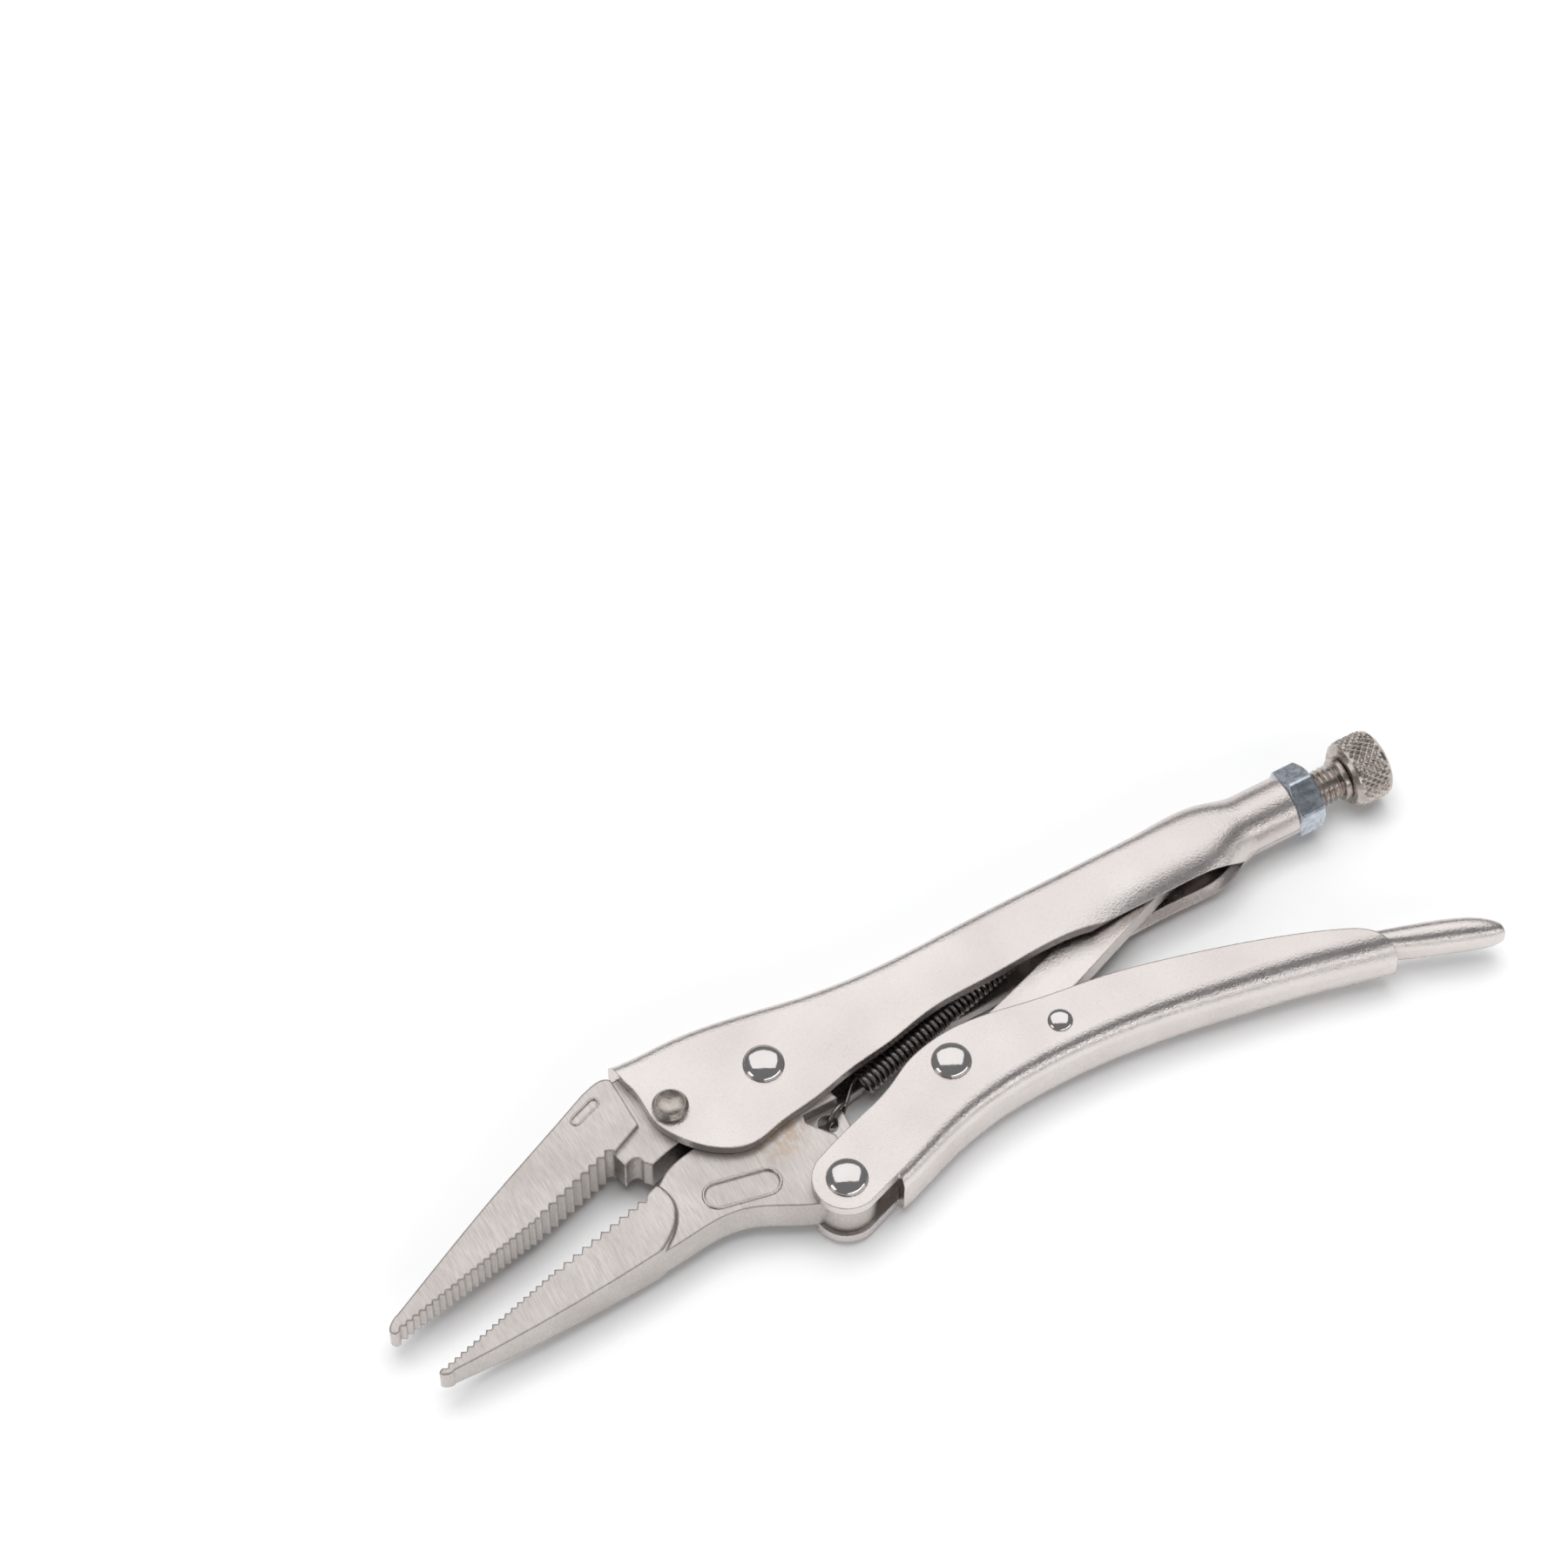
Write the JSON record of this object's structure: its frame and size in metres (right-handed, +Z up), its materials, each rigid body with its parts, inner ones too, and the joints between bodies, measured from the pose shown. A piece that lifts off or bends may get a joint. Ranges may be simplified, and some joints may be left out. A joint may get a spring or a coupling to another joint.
{
  "type": "locking pliers",
  "caption": "Long-nose locking pliers: a screw in the fixed handle's end sets a toggle linkage that locks the jaws, and a lever in the moving handle frees them.",
  "frame": {"origin": "centre of the box on the surface that the tool lies on", "axes": "+X from the jaws to the adjusting knob, +Y to the back of the fixed handle, +Z up through the thickness of the tool lying on its side"},
  "size_m": [0.2418, 0.061, 0.0176],
  "materials": {
    "nickel_plate": "satin nickel plate",
    "ground_nickel": "ground and nickel plated",
    "zinc_plate": "bright zinc",
    "polished_rivet": "polished",
    "spring_steel": "dark oiled wire"
  },
  "bodies": {
    "fixed_frame": {"fixed_handle": "nickel_plate", "fixed_jaw": "ground_nickel", "jaw_pivot_rivet": "polished_rivet", "fixed_jaw_pin": "polished_rivet", "tension_spring": "spring_steel"},
    "jaw": {"movable_jaw": "ground_nickel"},
    "handle": {"lower_handle": "nickel_plate", "handle_pivot_rivet": "polished_rivet", "link_rivet": "polished_rivet", "release_lever_rivet": "polished_rivet"},
    "link": {"toggle_link": "nickel_plate"},
    "lever": {"release_lever": "nickel_plate"},
    "screw": {"adjusting_screw": "nickel_plate"},
    "knob": {"adjusting_knob": "nickel_plate"},
    "nut": {"lock_nut": "zinc_plate"}
  },
  "joints": [
    {"name": "jaw_pivot", "type": "hinge", "parent": "fixed_frame", "child": "jaw", "pos_m": [-0.02869, 0.01494, 0.0088], "axis": [0, 0, 1], "range_deg": [0, 18], "deforming": ["tension_spring"]},
    {"name": "handle_swing", "type": "hinge", "parent": "jaw", "child": "handle", "pos_m": [-0.02699, -0.01586, 0.0088], "axis": [0, 0, -1], "range_deg": [0, 60]},
    {"name": "link_pivot", "type": "hinge", "parent": "handle", "child": "link", "pos_m": [0.00451, -0.00306, 0.0088], "axis": [0, 0, 1], "range_deg": [0, 62.4]},
    {"name": "release_lever_pivot", "type": "hinge", "parent": "handle", "child": "lever", "pos_m": [0.02841, -0.00576, 0.0088], "axis": [0, 0, 1], "range_deg": [0, 3]},
    {"name": "screw_travel", "type": "slide", "parent": "fixed_frame", "child": "screw", "axis": [1, 0, 0], "range_m": [0, 0.00875]},
    {"name": "knob_turn", "type": "hinge", "parent": "screw", "child": "knob", "pos_m": [0.11631, 0.01884, 0.0088], "axis": [1, 0, 0], "range_deg": [0, 2520.5]},
    {"name": "nut_travel", "type": "slide", "parent": "fixed_frame", "child": "nut", "axis": [1, 0, 0], "range_m": [0, 0.0025]}
  ],
  "couplings": [
    {"joint": "jaw_pivot", "follows": "handle_swing", "ratio": 0.3},
    {"joint": "link_pivot", "follows": "handle_swing", "ratio": 1.04},
    {"joint": "knob_turn", "follows": "screw_travel", "rad_per_m": 5026.5}
  ]
}
